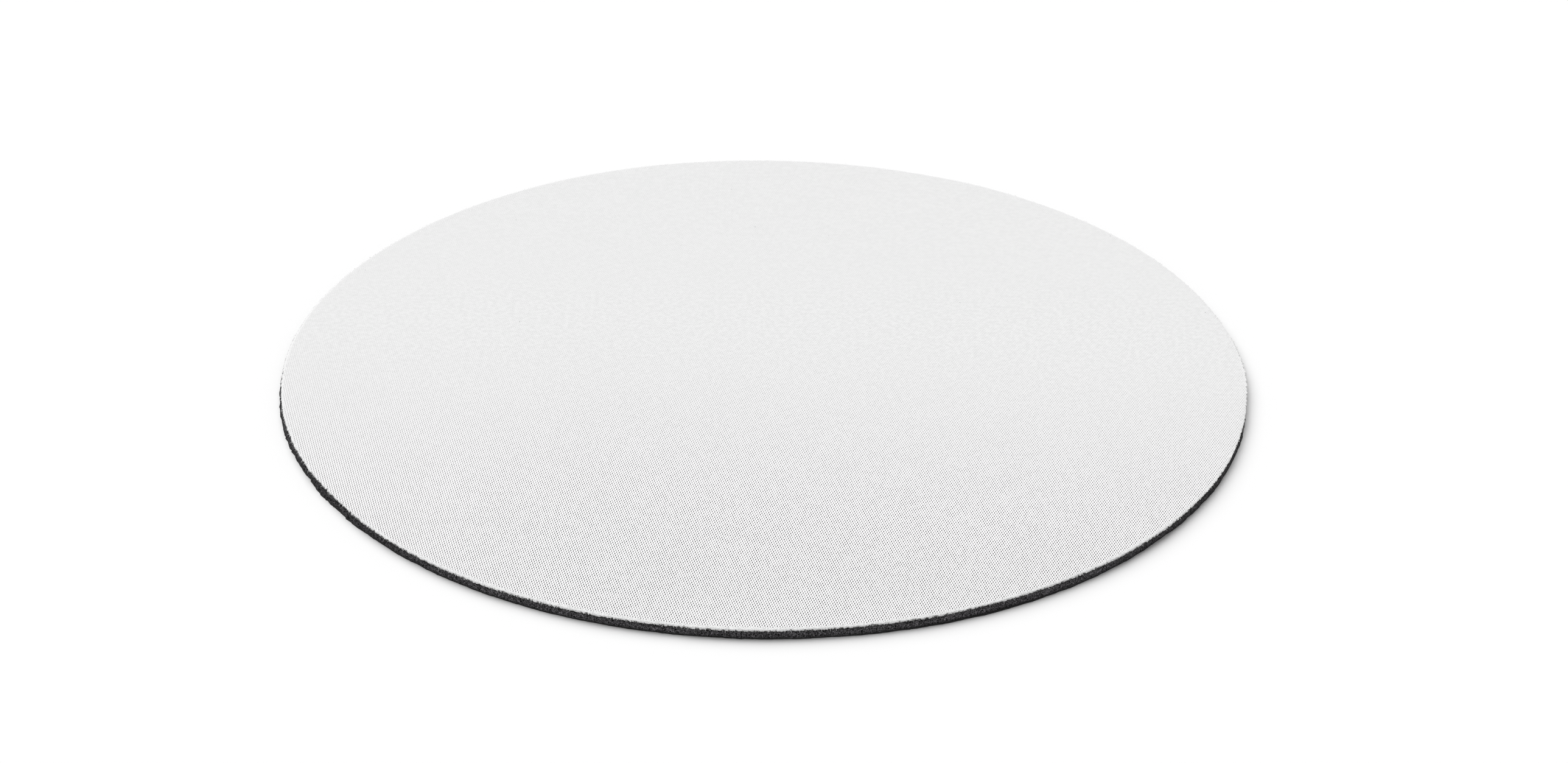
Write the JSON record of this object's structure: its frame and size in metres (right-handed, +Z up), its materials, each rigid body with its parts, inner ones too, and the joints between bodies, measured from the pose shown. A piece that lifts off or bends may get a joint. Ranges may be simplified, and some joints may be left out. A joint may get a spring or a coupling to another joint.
{
  "type": "mouse pad",
  "caption": "Round flat mouse pad with a white knitted cloth face bonded to a thin black sponge rubber base that grips the desk.",
  "frame": {"origin": "centre of the underside, on the desk", "axes": "+Z up through the pad to the cloth face; +X to the right and +Y away from the viewer of the picture"},
  "size_m": [0.2004, 0.2004, 0.0021],
  "materials": {
    "face_cloth": "white fine-gauge knitted polyester, matt, with a regular lattice of tiny gaps between the stitches",
    "bond_film": "thin hot-melt adhesive film, hidden between cloth and foam",
    "foam_core": "black sponge rubber, cut open along the edge so that its small cells show",
    "grip_skin": "dense black rubber skin, dull, finely embossed underneath"
  },
  "bodies": {
    "root": {"face_cloth": "face_cloth", "bond_film": "bond_film", "foam_core": "foam_core", "grip_skin": "grip_skin"}
  },
  "joints": []
}
